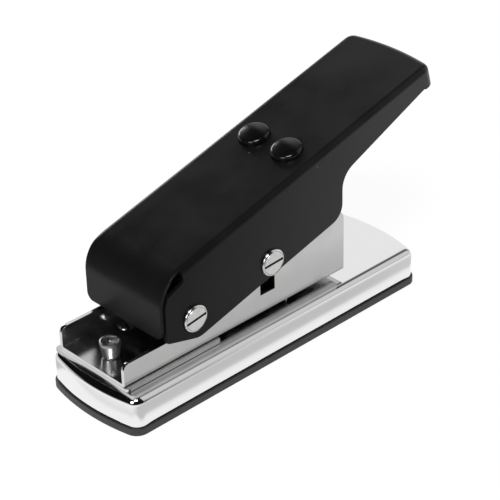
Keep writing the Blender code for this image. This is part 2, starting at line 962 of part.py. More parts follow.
def least_gap(points):
    """The smallest space between turns, from points over half a turn apart."""
    apart = spring_points_per_curl // 2 + 1
    least = spring_coil_radius * 2
    for i, a in enumerate(points):
        for b in points[i + apart :]:
            least = min(least, (Vector(a) - Vector(b)).length)
    return least - 2 * spring_wire_radius


def make_springs(cup_face):
    """Return springs from a stud on the frame's floor to a cup in the lever."""
    flange_z = floor_top + seat_gap
    seat_z = flange_z + stud_flange_height
    foot = Vector((nose_x + stud_from_nose, 0, seat_z + spring_seat_gap + spring_wire_radius))
    head_x, head_z = lever_to_world(rivet_u, cup_face - spring_seat_gap - spring_wire_radius)
    head = Vector((head_x, 0, head_z))
    points = spring_points((head - foot).length)
    print(f"return spring, least gap between turns {least_gap(points) * 1000:.2f} mm")
    lean = math.atan2(head.x - foot.x, head.z - foot.z)
    for name, side in (("near", -1), ("far", 1)):
        curve = bpy.data.curves.new(f"return_spring_{name}", "CURVE")
        curve.dimensions = "3D"
        curve.bevel_depth = spring_wire_radius
        curve.bevel_resolution = 1
        curve.use_fill_caps = True
        spline = curve.splines.new("POLY")
        spline.points.add(len(points) - 1)
        for point, (x, y, z) in zip(spline.points, points):
            point.co = (x, y, z, 1)
        spring = place(f"return_spring_{name}", curve, spring_steel)
        spring.location = (foot.x, side * rivet_y, foot.z)
        spring.rotation_euler = (0, lean, 0)
        top = seat_z + stud_spigot_height
        stud = turned(
            f"spring_stud_{name}",
            [
                (0, top),
                (stud_spigot_radius - stud_spigot_edge, top),
                (stud_spigot_radius, top - stud_spigot_edge),
                (stud_spigot_radius, seat_z),
                (stud_flange_radius, seat_z),
                (stud_flange_radius, flange_z),
                (stud_shank_radius, flange_z),
                (stud_shank_radius, frame_bottom + seat_gap),
                (0, frame_bottom + seat_gap),
            ],
            nickel,
        )
        stud.location = (foot.x, side * rivet_y, 0)


def clinched_end(shank, top):
    """The end of a rivet spread under the base shell."""
    wide = shank * clinch_radius_share
    return [(shank, top), (wide, top), (shank, top - clinch_height), (0, top - clinch_height)]


def make_stack_rivets():
    under = shell_top - shell_wall - seat_gap
    head_z = floor_top + seat_gap
    top = head_z + post_height
    post = turned(
        "front_post",
        [
            (0, top - post_recess_depth),
            (post_recess_radius, top - post_recess_depth),
            (post_recess_radius, top),
            (post_top_radius - post_edge, top),
            (post_top_radius, top - post_edge),
            (post_foot_radius, head_z + post_edge),
            (post_foot_radius, head_z),
            (post_shank_radius, head_z),
        ]
        + clinched_end(post_shank_radius, under),
        nickel,
    )
    post.location.x = nose_x + post_from_nose
    profile = dome_profile(floor_rivet_head_radius, floor_rivet_head_height, head_z, bend_steps)
    profile += [(floor_rivet_shank_radius, head_z)]
    profile += clinched_end(floor_rivet_shank_radius, under)
    for name, side in (("near", -1), ("far", 1)):
        rivet = turned(f"floor_rivet_{name}", profile, nickel)
        rivet.location = (nose_x + floor_rivet_from_nose, side * floor_rivet_y, 0)
        flush = [(0, die_top - die_rivet_sink), (die_rivet_radius, die_top - die_rivet_sink)]
        flush += clinched_end(die_rivet_radius, under)
        die_rivet = turned(f"die_rivet_{name}", flush, nickel)
        die_rivet.location = (nose_x + die_rivet_from_nose, side * die_rivet_y, 0)


def make_pivot_frame():
    """The empty that carries what swings with the lever."""
    pivot = bpy.data.objects.new("lever_hinge", None)
    press.objects.link(pivot)
    pivot.location = (pivot_x, 0, pivot_height)
    pivot.rotation_euler = (0, -lever_open, 0)
    return pivot


def make_pivot_anchor():
    """The empty on the hinge's axis that stays with the frame."""
    anchor = bpy.data.objects.new("pivot_anchor", None)
    press.objects.link(anchor)
    anchor.location = (pivot_x, 0, pivot_height)
    return anchor


hinge = make_pivot_frame()
anchor = make_pivot_anchor()
make_catch_tray()
make_base_shell()
make_plates()
make_frame()
make_lever(hinge)
pin_pair("pivot", anchor, 0, 0, pivot_slot_deg)
pin_pair("drive", hinge, drive_u, drive_w, drive_slot_deg - lever_open_deg)
washer_pair("pivot", anchor, 0, 0)
washer_pair("drive", hinge, drive_u, drive_w)
make_punch()
make_springs(make_lever_rivets(hinge))
make_stack_rivets()
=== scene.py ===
import math

import bmesh
import bpy
from mathutils import Matrix, Vector


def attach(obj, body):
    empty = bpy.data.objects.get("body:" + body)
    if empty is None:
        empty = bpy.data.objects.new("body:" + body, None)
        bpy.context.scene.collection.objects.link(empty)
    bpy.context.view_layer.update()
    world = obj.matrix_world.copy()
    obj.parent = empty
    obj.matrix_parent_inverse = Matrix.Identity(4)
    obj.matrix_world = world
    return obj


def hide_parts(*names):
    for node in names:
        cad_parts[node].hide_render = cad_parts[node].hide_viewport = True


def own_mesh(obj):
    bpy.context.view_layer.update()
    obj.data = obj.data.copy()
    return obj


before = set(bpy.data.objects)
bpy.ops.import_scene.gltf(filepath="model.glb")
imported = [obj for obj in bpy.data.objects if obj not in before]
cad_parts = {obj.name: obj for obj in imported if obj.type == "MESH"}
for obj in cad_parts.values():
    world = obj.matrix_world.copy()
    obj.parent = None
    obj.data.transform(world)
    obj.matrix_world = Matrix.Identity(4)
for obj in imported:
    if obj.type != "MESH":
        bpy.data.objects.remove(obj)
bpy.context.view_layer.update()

# Looks for a hand press that punches guitar picks out of plastic card.
# Every piece is drawn in millimetres, x from the nose of the base, y to the far side, z up.
# What swings with the lever is drawn in its own axes: x from the pivot to the tail.

placing = {"noseX": -59.5, "metre": 0.001, "pivotX": 27.2, "pivotZ": 27.5, "openDeg": 15.0}
rounds = {"corner": 10, "bulge": 24, "bend": 8, "turn": 64, "dome": 10}  # steps in each kind of curve
close = {"line": 0.001, "join": 0.0005, "cut": 0.0001}
finishing = {"sharpDeg": 40, "edgeDeg": 50, "edgeSegments": 2, "weight": 80}


def same(a, b):
    return abs(a - b) < close["line"]


def linearColour(hexText):
    channels = [int(hexText[i:i + 2], 16) / 255 for i in (1, 3, 5)]
    return [c / 12.92 if c <= 0.04045 else ((c + 0.055) / 1.055) ** 2.4 for c in channels] + [1.0]


def addNode(tree, kind, inputs=None, links=None, **settings):
    node = tree.nodes.new(kind)
    for name, value in settings.items():
        setattr(node, name, value)
    for name, value in (inputs or {}).items():
        node.inputs[name].default_value = value
    for name, source in (links or {}).items():
        tree.links.new(source, node.inputs[name])
    return node


def startMaterial(name, colour, metallic, roughness):
    material = bpy.data.materials.new(name)
    material.use_nodes = True
    tree = material.node_tree
    shader = tree.nodes["Principled BSDF"]
    shader.inputs["Base Color"].default_value = linearColour(colour)
    shader.inputs["Metallic"].default_value = metallic
    shader.inputs["Roughness"].default_value = roughness
    place = addNode(tree, "ShaderNodeTexCoord").outputs["Object"]
    return material, tree, shader, place


def cloudTint(tree, shader, place, look, shade, detail):
    # Base colour that drifts between two tones
    cloud = addNode(tree, "ShaderNodeTexNoise", {"Scale": 1000 / look["cloud"], "Detail": detail}, {"Vector": place})
    tint = addNode(tree, "ShaderNodeMix", {6: linearColour(look["colour"]), 7: linearColour(look[shade])},
                   {0: cloud.outputs["Fac"]}, data_type="RGBA")
    tree.links.new(tint.outputs[2], shader.inputs["Base Color"])
    return cloud


def unevenSurface(tree, shader, place, size, detail, strength, depth):
    # Shallow relief, with its size and depth in millimetres
    relief = addNode(tree, "ShaderNodeTexNoise", {"Scale": 1000 / size, "Detail": detail}, {"Vector": place})
    bump = addNode(tree, "ShaderNodeBump", {"Strength": strength, "Distance": depth / 1000},
                   {"Height": relief.outputs["Fac"]})
    tree.links.new(bump.outputs["Normal"], shader.inputs["Normal"])


def blackEnamel(name, look):
    # Stoved enamel sprayed on steel: soft gloss, faint orange peel, a few specks of dust, and a painted sheen rising
    # toward the tail
    material, tree, shader, place = startMaterial(name, look["colour"], 0.0, 0.36)
    along = addNode(tree, "ShaderNodeSeparateXYZ", None, {0: place})
    # painted sheen: specular level rises along x toward the tail, standing in for light falling there
    paintedSheen = addNode(tree, "ShaderNodeMapRange", {"From Min": look["paintedSheen"][0], "From Max": look["paintedSheen"][1],
                                                "To Min": look["gloss"][0], "To Max": look["gloss"][1]},
                   {"Value": along.outputs["X"]})
    tree.links.new(paintedSheen.outputs["Result"], shader.inputs["Specular IOR Level"])
    cloud = addNode(tree, "ShaderNodeTexNoise", {"Scale": 1000 / look["cloud"], "Detail": 4.0}, {"Vector": place})
    rough = addNode(tree, "ShaderNodeMapRange", {"From Min": 0.3, "From Max": 0.7, "To Min": look["rough"][0],
                                                 "To Max": look["rough"][1]}, {"Value": cloud.outputs["Fac"]})
    tree.links.new(rough.outputs["Result"], shader.inputs["Roughness"])
    cells = addNode(tree, "ShaderNodeTexVoronoi", {"Scale": 1000 / look["speck"]}, {"Vector": place})
    near = addNode(tree, "ShaderNodeMapRange", {"From Min": 0.018, "From Max": 0.035, "To Min": 1.0, "To Max": 0.0},
                   {"Value": cells.outputs["Distance"]})
    chance = addNode(tree, "ShaderNodeSeparateColor", None, {"Color": cells.outputs["Color"]})
    few = addNode(tree, "ShaderNodeMath", {1: 0.62}, {0: chance.outputs["Red"]}, operation="GREATER_THAN")
    dust = addNode(tree, "ShaderNodeMath", None, {0: near.outputs["Result"], 1: few.outputs["Value"]},
                   operation="MULTIPLY")
    base = addNode(tree, "ShaderNodeMix", {6: linearColour(look["colour"]), 7: linearColour(look["worn"])},
                   {0: cloud.outputs["Fac"]}, data_type="RGBA")
    dusty = addNode(tree, "ShaderNodeMix", {7: linearColour(look["dust"])},
                    {0: dust.outputs["Value"], 6: base.outputs[2]}, data_type="RGBA")
    tree.links.new(dusty.outputs[2], shader.inputs["Base Color"])
    unevenSurface(tree, shader, place, look["peel"], 2.0, 0.6, look["peelDepth"])
    return material


def brightChrome():
    # Decorative chromium over polished steel: near mirror, slightly wavy from the press tool, hazed by handling
    look = {"colour": "#ECECED", "wave": 16.0, "waveDepth": 0.010, "haze": 7.0, "rough": (0.035, 0.10)}
    material, tree, shader, place = startMaterial("brightChrome", look["colour"], 1.0, 0.05)
    haze = addNode(tree, "ShaderNodeTexNoise", {"Scale": 1000 / look["haze"], "Detail": 6.0, "Roughness": 0.6},
                   {"Vector": place})
    rough = addNode(tree, "ShaderNodeMapRange", {"From Min": 0.35, "From Max": 0.75, "To Min": look["rough"][0],
                                                 "To Max": look["rough"][1]}, {"Value": haze.outputs["Fac"]})
    tree.links.new(rough.outputs["Result"], shader.inputs["Roughness"])
    unevenSurface(tree, shader, place, look["wave"], 1.0, 1.0, look["waveDepth"])
    return material


def grainedMetal(name, look):
    # Fine lines left by rolling, grinding or drawing, drawn about twice as coarse as real so that they show
    material, tree, shader, place = startMaterial(name, look["colour"], 1.0, look["rough"][0])
    stretch = addNode(tree, "ShaderNodeMapping", {"Scale": [1000 / size for size in look["grain"]]},
                      {"Vector": place})
    lines = addNode(tree, "ShaderNodeTexNoise", {"Scale": 1.0, "Detail": 3.0}, {"Vector": stretch.outputs["Vector"]})
    cloud = cloudTint(tree, shader, place, look, "shade", 4.0)
    both = addNode(tree, "ShaderNodeMath", {1: 0.5}, {0: lines.outputs["Fac"], 2: cloud.outputs["Fac"]},
                   operation="MULTIPLY_ADD")
    rough = addNode(tree, "ShaderNodeMapRange", {"From Min": 0.55, "From Max": 0.95, "To Min": look["rough"][0],
                                                 "To Max": look["rough"][1]}, {"Value": both.outputs["Value"]})
    tree.links.new(rough.outputs["Result"], shader.inputs["Roughness"])
    bump = addNode(tree, "ShaderNodeBump", {"Strength": 0.5, "Distance": look["depth"] / 1000},
                   {"Height": lines.outputs["Fac"]})
    tree.links.new(bump.outputs["Normal"], shader.inputs["Normal"])
    return material


def mouldedAbs():
    # Injection moulded black ABS with a fine spark grain: dull, greyer where it catches the light
    look = {"colour": "#1F1F21", "pale": "#2B2B2D", "grain": 0.35, "grainDepth": 0.02, "cloud": 9.0}
    material, tree, shader, place = startMaterial("mouldedAbs", look["colour"], 0.0, 0.52)
    cloudTint(tree, shader, place, look, "pale", 3.0)
    unevenSurface(tree, shader, place, look["grain"], 2.0, 0.7, look["grainDepth"])
    return material


def naturalNylon():
    # Turned washers of natural nylon: milky, waxy, a little light passes through
    look = {"colour": "#D9D6CC", "shade": "#C3BFB3", "cloud": 2.5}
    material, tree, shader, place = startMaterial("naturalNylon", look["colour"], 0.0, 0.42)
    shader.inputs["Subsurface Weight"].default_value = 0.15
    shader.inputs["Subsurface Radius"].default_value = (0.0012, 0.001, 0.0008)
    cloudTint(tree, shader, place, look, "shade", 3.0)
    return material


# Lever: dull at the front, with a painted sheen growing toward the tail
enamel = blackEnamel("blackBakedEnamel", {
    "colour": "#0B0B0C", "worn": "#151516", "dust": "#5E5E5C", "peel": 0.9, "peelDepth": 0.004, "cloud": 14.0,
    "speck": 9.0, "rough": (0.26, 0.36), "paintedSheen": (-0.035, 0.055), "gloss": (0.12, 0.42)})
# Rivets of the lever: dipped, so glossier and smoother
glossEnamel = blackEnamel("dippedBlackEnamel", {
    "colour": "#070708", "worn": "#0C0C0D", "dust": "#3A3A39", "peel": 1.2, "peelDepth": 0.002, "cloud": 6.0,
    "speck": 12.0, "rough": (0.16, 0.22), "paintedSheen": (-0.035, 0.055), "gloss": (0.42, 0.42)})
chrome = brightChrome()
# Frame and spacer: cold rolled steel sheet, nickel plated, with faint lines along it
frameNickel = grainedMetal("rolledNickelSheet", {
    "colour": "#DDDDDC", "shade": "#D0D0D0", "grain": (9.0, 0.25, 0.25), "depth": 0.0012, "cloud": 11.0,
    "rough": (0.13, 0.24)})
# Pins, cups, studs and rivets: turned steel, barrel plated, slightly hazy
turnedNickel = grainedMetal("barrelNickel", {
    "colour": "#EBEBEA", "shade": "#D2D2D1", "grain": (0.5, 0.5, 0.5), "depth": 0.003, "cloud": 1.6,
    "rough": (0.10, 0.24)})
# Post at the nose: the same plating over a rougher turned face
satinNickel = grainedMetal("satinNickel", {
    "colour": "#C6C6C5", "shade": "#9C9C9B", "grain": (0.6, 0.6, 0.6), "depth": 0.008, "cloud": 1.2,
    "rough": (0.26, 0.44)})
# Shanks of the pins, a darker grey than their heads
darkShankSteel = grainedMetal("oiledShank", {
    "colour": "#5A5A5B", "shade": "#474748", "grain": (0.4, 0.4, 0.4), "depth": 0.002, "cloud": 2.0,
    "rough": (0.28, 0.42)})
# Floors of the screw slots: a dark grey of painted shade, standing in for the shade deep in each slot
slotPaintedShade = grainedMetal("slotFloor", {
    "colour": "#4A4A4A", "shade": "#2C2C2C", "grain": (0.3, 0.3, 0.3), "depth": 0.004, "cloud": 1.0,
    "rough": (0.35, 0.55)})
# Die plate and punch: hardened tool steel, ground across
groundSteel = grainedMetal("groundToolSteel", {
    "colour": "#D2D2D3", "shade": "#C2C2C4", "grain": (0.2, 8.0, 0.2), "depth": 0.0015, "cloud": 8.0,
    "rough": (0.12, 0.24)})
# Return springs: drawn music wire
springWire = grainedMetal("drawnSpringWire", {
    "colour": "#8E8E90", "shade": "#7B7B7E", "grain": (0.3, 0.3, 0.3), "depth": 0.001, "cloud": 2.0,
    "rough": (0.22, 0.34)})
trayAbs = mouldedAbs()
nylon = naturalNylon()
print("materials made")


def penLine(bm, vert, x, y):
    made = bmesh.ops.extrude_vert_indiv(bm, verts=[vert])
    made["verts"][0].co = (x, y, vert.co.z)
    return made["verts"][0]


def penArc(bm, vert, x, y, turnDeg, steps):
    made = bmesh.ops.spin(bm, geom=[vert], cent=(x, y, vert.co.z), axis=(0, 0, 1),
                          angle=math.radians(turnDeg), steps=steps)
    return [item for item in made["geom_last"] if isinstance(item, bmesh.types.BMVert)][0]


def traceLoop(bm, start, moves, height=0.0):
    # A closed line from a start and its moves: (x, y) is a straight one, (x, y, turn, steps) an arc round a point
    before = set(bm.verts)
    vert = bm.verts.new((start[0], start[1], height))
    for move in moves:
        vert = penLine(bm, vert, *move) if len(move) == 2 else penArc(bm, vert, *move)
    drawn = [v for v in bm.verts if v not in before]
    bmesh.ops.remove_doubles(bm, verts=drawn, dist=close["line"])
    drawn = [v for v in bm.verts if v not in before]
    ends = [v for v in drawn if len(v.link_edges) == 1]
    if ends:
        bmesh.ops.contextual_create(bm, geom=ends)
    return list({e for v in drawn for e in v.link_edges})


def filletPath(corners):
    # Start and moves of an outline from corners (x, y, radius)
    moves = []
    for i, (x, y, radius) in enumerate(corners):
        corner = Vector((x, y))
        if not radius:
            moves.append((x, y))
            continue
        back = (Vector(corners[i - 1][:2]) - corner).normalized()
        onward = (Vector(corners[(i + 1) % len(corners)][:2]) - corner).normalized()
        half = back.angle(onward) / 2
        centre = corner + (back + onward).normalized() * radius / math.sin(half)
        moves.append(tuple(corner + back * radius / math.tan(half)))
        left = back.x * onward.y - back.y * onward.x < 0
        turn = math.degrees(math.pi - 2 * half) * (1 if left else -1)
        moves.append((centre.x, centre.y, turn, rounds["corner"]))
    return moves[0], moves[1:]


def bulgedPath(values):
    # Start and moves of a plan with slightly bulged ends and round corners, from its near side on round
    front, rear, half = values["front"], values["rear"], values["half"]
    def endShape(bulge, corner):
        radius = (half ** 2 + bulge ** 2) / (2 * bulge)
        reach = math.sqrt((radius - corner) ** 2 - (half - corner) ** 2)
        return radius, reach, half - corner, math.degrees(math.atan2(half - corner, reach))
    ends = [endShape(bulge, corner) for bulge, corner in zip(values["bulges"], values["corners"])]
    (noseRadius, noseReach, noseSide, noseAngle), (tailRadius, tailReach, tailSide, tailAngle) = ends
    noseX, tailX = front + noseRadius, rear - tailRadius
    frontX, rearX = noseX - noseReach, tailX + tailReach
    corner, bulge = rounds["corner"], rounds["bulge"]
    near = (0, 2, 4, 7)
    stops = [frontX + x for x in near] + [rearX - x for x in near[::-1]]
    return (frontX, -half), [
        *[(x, -half) for x in stops[1:]], (rearX, -tailSide, 90 - tailAngle, corner), (tailX, 0, 2 * tailAngle, bulge),
        (rearX, tailSide, 90 - tailAngle, corner), *[(x, half) for x in stops[-2::-1]],
        (frontX, noseSide, 90 - noseAngle, corner), (noseX, 0, 2 * noseAngle, bulge),
        (frontX, -noseSide, 90 - noseAngle, corner)]


def sweepProfile(bm, profile, start, moves):
    # Carries a profile of (inset, height) points round a plan
    chain = bm.verts.new((start[0], start[1] + profile[0][0], profile[0][1]))
    verts = [chain]
    for inset, height in profile[1:]:
        made = bmesh.ops.extrude_vert_indiv(bm, verts=[verts[-1]])
        made["verts"][0].co = (start[0], start[1] + inset, height)
        verts.append(made["verts"][0])
    edges = [bm.edges.get((a, b)) for a, b in zip(verts, verts[1:])]
    spot = Vector(start)
    for move in moves:
        if len(move) == 2:
            made = bmesh.ops.extrude_edge_only(bm, edges=edges)["geom"]
            moved = [item for item in made if isinstance(item, bmesh.types.BMVert)]
            bmesh.ops.translate(bm, verts=moved, vec=(move[0] - spot.x, move[1] - spot.y, 0))
            spot = Vector(move)
        else:
            x, y, turn, steps = move
            made = bmesh.ops.spin(bm, geom=edges, cent=(x, y, 0), axis=(0, 0, 1), angle=math.radians(turn),
                                  steps=steps)["geom_last"]
            spot = Vector((x, y)) + Matrix.Rotation(math.radians(turn), 2) @ (spot - Vector((x, y)))
        edges = [item for item in made if isinstance(item, bmesh.types.BMEdge)]
        if len(move) == 2:
            ends = set(moved)
            edges = [e for e in edges if all(v in ends for v in e.verts)]
    bmesh.ops.remove_doubles(bm, verts=bm.verts, dist=close["line"])


def flatFill(bm, height):
    edges = [e for e in bm.edges if len(e.link_faces) < 2 and all(same(v.co.z, height) for v in e.verts)]
    return bmesh.ops.triangle_fill(bm, edges=edges, use_beauty=True)


def bendPoints(height, radius):
    # Points round the quarter bend that ends a wall at a flat height
    turns = [math.radians(90 * i / rounds["bend"]) for i in range(rounds["bend"] + 1)]
    return [(radius * (1 - math.cos(turn)), height + radius * (math.sin(turn) - 1)) for turn in turns]


def turnProfile(bm, profile, at=(0, 0, 0), facing="Z"):
    # Turns a profile of (radius, height) points about an axis through a point
    before = set(bm.verts)
    vert = bm.verts.new((profile[0][0], 0, profile[0][1]))
    for radius, height in profile[1:]:
        vert = penLine(bm, vert, radius, 0)
        vert.co.z = height
    drawn = [v for v in bm.verts if v not in before]
    edges = list({e for v in drawn for e in v.link_edges})
    bmesh.ops.spin(bm, geom=edges, cent=(0, 0, 0), axis=(0, 0, 1), angle=math.tau, steps=rounds["turn"],
                   use_merge=True)
    drawn = [v for v in bm.verts if v not in before]
    bmesh.ops.remove_doubles(bm, verts=drawn, dist=close["join"])
    drawn = [v for v in bm.verts if v not in before]
    turn = {"Z": Matrix.Identity(3), "-Y": Matrix.Rotation(math.radians(90), 3, "X"),
            "Y": Matrix.Rotation(math.radians(-90), 3, "X")}[facing]
    bmesh.ops.rotate(bm, verts=drawn, cent=(0, 0, 0), matrix=turn)
    bmesh.ops.translate(bm, verts=drawn, vec=at)
    return drawn


def finishPiece(name, bm, material, body, nodes, onLever=False, sheet=0.0, edge=0.0):
    # Places the drawn piece, gives a sheet its wall and edges their small rounding, and ties it to its body
    bmesh.ops.remove_doubles(bm, verts=bm.verts, dist=close["join"])
    bmesh.ops.recalc_face_normals(bm, faces=bm.faces)
    if onLever:
        bmesh.ops.rotate(bm, verts=bm.verts, cent=(0, 0, 0),
                         matrix=Matrix.Rotation(math.radians(-placing["openDeg"]), 3, "Y"))
        bmesh.ops.translate(bm, verts=bm.verts, vec=(placing["pivotX"], 0, placing["pivotZ"]))
    bmesh.ops.translate(bm, verts=bm.verts, vec=(placing["noseX"], 0, 0))
    bmesh.ops.scale(bm, verts=bm.verts, vec=[placing["metre"]] * 3)
    mesh = bpy.data.meshes.new(name)
    bm.to_mesh(mesh)
    bm.free()
    mesh.shade_smooth()
    mesh.set_sharp_from_angle(angle=math.radians(finishing["sharpDeg"]))
    mesh.materials.append(material)
    piece = bpy.data.objects.new(name, mesh)
    bpy.context.scene.collection.objects.link(piece)
    if sheet:
        wall = piece.modifiers.new("sheet", "SOLIDIFY")
        wall.thickness = sheet * placing["metre"]
        wall.offset = -1
        wall.use_even_offset = True
    if edge:
        soft = piece.modifiers.new("brokenEdge", "BEVEL")
        soft.width = edge * placing["metre"]
        soft.segments = finishing["edgeSegments"]
        soft.limit_method = "ANGLE"
        soft.angle_limit = math.radians(finishing["edgeDeg"])
        soft.use_clamp_overlap = True
    even = piece.modifiers.new("evenNormals", "WEIGHTED_NORMAL")
    even.keep_sharp = True
    even.weight = finishing["weight"]
    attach(piece, body)
    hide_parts(*nodes)
    return piece


pick = {"tip": 44.0, "length": 27.6, "width": 23.6, "tipRadius": 2.7, "shoulderRadius": 6.2,
        "sideRadius": 30.0, "backRadius": 26.0, "steps": 12}


def pickPath(margin):
    # Start and moves of the pick: three circles joined by bulged arcs, grown by a margin
    def joiningCentre(first, second, bulge):
        a, b = Vector(first[:2]), Vector(second[:2])
        span = (b - a).length
        reachA, reachB = bulge - first[2], bulge - second[2]
        along = (reachA ** 2 - reachB ** 2 + span ** 2) / (2 * span)
        unit = (b - a) / span
        return a + unit * along + Vector((-unit.y, unit.x)) * math.sqrt(reachA ** 2 - along ** 2)
    side = pick["width"] / 2 - pick["shoulderRadius"]
    back = pick["tip"] + pick["length"]
    backReach = pick["backRadius"] - pick["shoulderRadius"]
    shoulder = back - pick["backRadius"] + math.sqrt(backReach ** 2 - side ** 2)
    circles = [(pick["tip"] + pick["tipRadius"], 0, pick["tipRadius"]),
               (shoulder, -side, pick["shoulderRadius"]), (shoulder, side, pick["shoulderRadius"])]
    radii = [pick["sideRadius"], pick["backRadius"], pick["sideRadius"]]
    centres = [joiningCentre(circles[i], circles[(i + 1) % 3], radii[i]) for i in range(3)]
    moves = []
    for i, (x, y, radius) in enumerate(circles):
        here = Vector((x, y))
        arrive, leave = here - centres[i - 1], here - centres[i]
        turn = math.degrees(math.atan2(leave.y, leave.x) - math.atan2(arrive.y, arrive.x)) % 360
        if i == 0:
            start = here + arrive.normalized() * (radius + margin)
        moves.append((x, y, turn, pick["steps"]))
        following = Vector(circles[(i + 1) % 3][:2]) - centres[i]
        sweep = math.degrees(math.atan2(following.y, following.x) - math.atan2(leave.y, leave.x)) % 360
        moves.append((centres[i].x, centres[i].y, sweep, pick["steps"]))
    return tuple(start), moves


# Black moulded tray that closes the base from below
tray = {"front": 0.0, "rear": 119.0, "half": 19.0, "bulges": (2.6, 2.9), "corners": (4.2, 3.2),
        "wall": [(0.4, 0.0), (0.12, 0.12), (0.0, 0.4), (0.0, 2.35), (0.04, 2.46), (0.15, 2.5), (1.65, 2.5),
                 (1.65, 4.95), (1.9, 5.2), (2.5, 5.2), (2.75, 4.95), (2.75, 1.7), (2.85, 1.5), (3.05, 1.4)]}


def makeTray():
    bm = bmesh.new()
    sweepProfile(bm, tray["wall"], *bulgedPath(tray))
    for end in (0, -1):
        flatFill(bm, tray["wall"][end][1])
    finishPiece("tray", bm, trayAbs, "tray", ["catch_tray"])


# Chromed base, drawn from thin sheet, with the pick window in its top
shell = {"front": 0.5, "rear": 118.5, "half": 18.5, "bulges": (2.6, 2.9), "corners": (3.7, 2.7),
         "low": 2.65, "lift": 0.38, "liftFrom": 2.0, "liftOver": 4.5, "lowest": (2.2, 1.8, 1.2),
         "top": 12.0, "bend": 2.3, "sheet": 1.0, "edge": 0.12, "windowMargin": 1.1}


def makeBase():
    bm = bmesh.new()
    sweepProfile(bm, [(0.0, shell["low"])] + bendPoints(shell["top"], shell["bend"]), *bulgedPath(shell))
    # the drawn sheet hangs lowest at its corners
    noseIn, tailIn, sideIn = shell["lowest"]
    corners = [Vector((x, y)) for x in (shell["front"] + noseIn, shell["rear"] - tailIn)
               for y in (sideIn - shell["half"], shell["half"] - sideIn)]
    for vert in [v for v in bm.verts if same(v.co.z, shell["low"])]:
        away = min((Vector(vert.co[:2]) - c).length for c in corners)
        share = min(1.0, max(0.0, (away - shell["liftFrom"]) / shell["liftOver"]))
        vert.co.z += shell["lift"] * share * share * (3 - 2 * share)
    traceLoop(bm, *pickPath(shell["windowMargin"]), height=shell["top"])
    flatFill(bm, shell["top"])
    finishPiece("base", bm, chrome, "base", ["base_shell"], sheet=shell["sheet"], edge=shell["edge"])


# Ground die plate, and the spacer that leaves the slot for the card
plates = {"corner": 1.2, "edge": 0.12,
          "die": {"front": 3.1, "rear": 83.8, "half": 17.2, "low": 12.15, "thick": 1.0, "gap": 0.12},
          "spacer": {"front": 3.0, "rear": 38.4, "half": 15.0, "low": 13.3, "thick": 0.95}}


def makePlate(name, values, material, nodes, hole=None):
    bm = bmesh.new()
    front, rear, half = values["front"], values["rear"], values["half"]
    corners = [(front, -half), (rear, -half), (rear, half), (front, half)]
    traceLoop(bm, *filletPath([(x, y, plates["corner"]) for x, y in corners]), height=values["low"])
    if hole is not None:
        traceLoop(bm, *pickPath(hole), height=values["low"])
    flatFill(bm, values["low"])
    raised = bmesh.ops.extrude_face_region(bm, geom=bm.faces[:])["geom"]
    bmesh.ops.translate(bm, verts=[v for v in raised if isinstance(v, bmesh.types.BMVert)],
                        vec=(0, 0, values["thick"]))
    finishPiece(name, bm, material, "base", nodes, edge=plates["edge"])


# Nickelled frame: one sheet bent into a channel, low at the front and tall round the punch
channel = {"front": 2.9, "rear": 89.3, "half": 14.0, "bottom": 14.4, "sheet": 1.1, "bend": 1.2, "step": 21.4,
           "crown": 65.4, "low": 21.9, "high": 39.0, "tail": 35.3, "lowCorner": 2.1, "stepFillet": 3.0,
           "shoulder": 8.5, "crownRadius": 8.0, "tailCorner": 3.5, "slot": (54.8, 60.6, 20.93, 34.7),
           "guideGap": 0.25, "edge": 0.14}


def makeFrame():
    bm = bmesh.new()
    base = channel["bottom"] + channel["bend"]
    front, rear, half = channel["front"], channel["rear"], channel["half"]
    outline = [(front, base, 0), (rear, base, 0), (rear, channel["tail"], channel["tailCorner"]),
               (channel["crown"], channel["high"], channel["crownRadius"]),
               (channel["step"], channel["high"], channel["shoulder"]),
               (channel["step"], channel["low"], channel["stepFillet"]),
               (front, channel["low"], channel["lowCorner"])]
    traceLoop(bm, *filletPath(outline))
    left, right, low, high = channel["slot"]
    traceLoop(bm, *filletPath([(left, low, 0), (right, low, 0), (right, high, 0), (left, high, 0)]))
    flatFill(bm, 0.0)
    bmesh.ops.rotate(bm, verts=bm.verts, cent=(0, 0, 0), matrix=Matrix.Rotation(math.radians(90), 3, "X"))
    bmesh.ops.translate(bm, verts=bm.verts, vec=(0, -half, 0))
    foot = [e for e in bm.edges if all(same(v.co.z, base) for v in e.verts)]
    bmesh.ops.spin(bm, geom=foot, cent=(0, channel["bend"] - half, base), axis=(1, 0, 0),
                   angle=math.radians(90), steps=rounds["bend"])
    bmesh.ops.mirror(bm, geom=bm.faces[:] + bm.edges[:] + bm.verts[:], matrix=Matrix.Identity(4),
                     merge_dist=close["cut"], axis="Y")
    for x in (front, rear):
        ends = [v for v in bm.verts if same(v.co.x, x) and same(v.co.z, channel["bottom"])]
        bmesh.ops.contextual_create(bm, geom=ends)
    traceLoop(bm, *pickPath(channel["guideGap"]), height=channel["bottom"])
    flatFill(bm, channel["bottom"])
    finishPiece("channelFrame", bm, frameNickel, "base", ["frame"], sheet=channel["sheet"],
                edge=channel["edge"])


# Lever: one folded sheet, drawn as its outer skin from the near cheek to the middle and mirrored
cover = {"half": 16.5, "top": 17.75, "sheet": 1.2, "bend": 2.0, "edge": 0.3,
         "tip": 105.9, "bulge": 1.6, "tipCorner": 3.3,
         "flangeFoot": (-12.17, 0.57), "flangeLean": 15.0, "flangeBend": 10.5, "slit": 0.3,
         "flangeCorner": 2.4, "flatFacing": 0.9, "slitTop": 9.9, "slitLow": -0.871, "holeLow": (-6.4, 12.6, 0.8),
         "holeHigh": (13.6, 1.6), "closedSteps": 4, "growOver": 0.5,
         "cheekFront": (-10.36, -1.57), "cheekLow": (-0.3, -7.46, 6.6), "heel": (59.1, -7.46, 5.5),
         "tailRoot": (62.56, 5.51, 7.2), "tailEnd": (100.0, 11.2), "lip": (101.0, 10.7)}


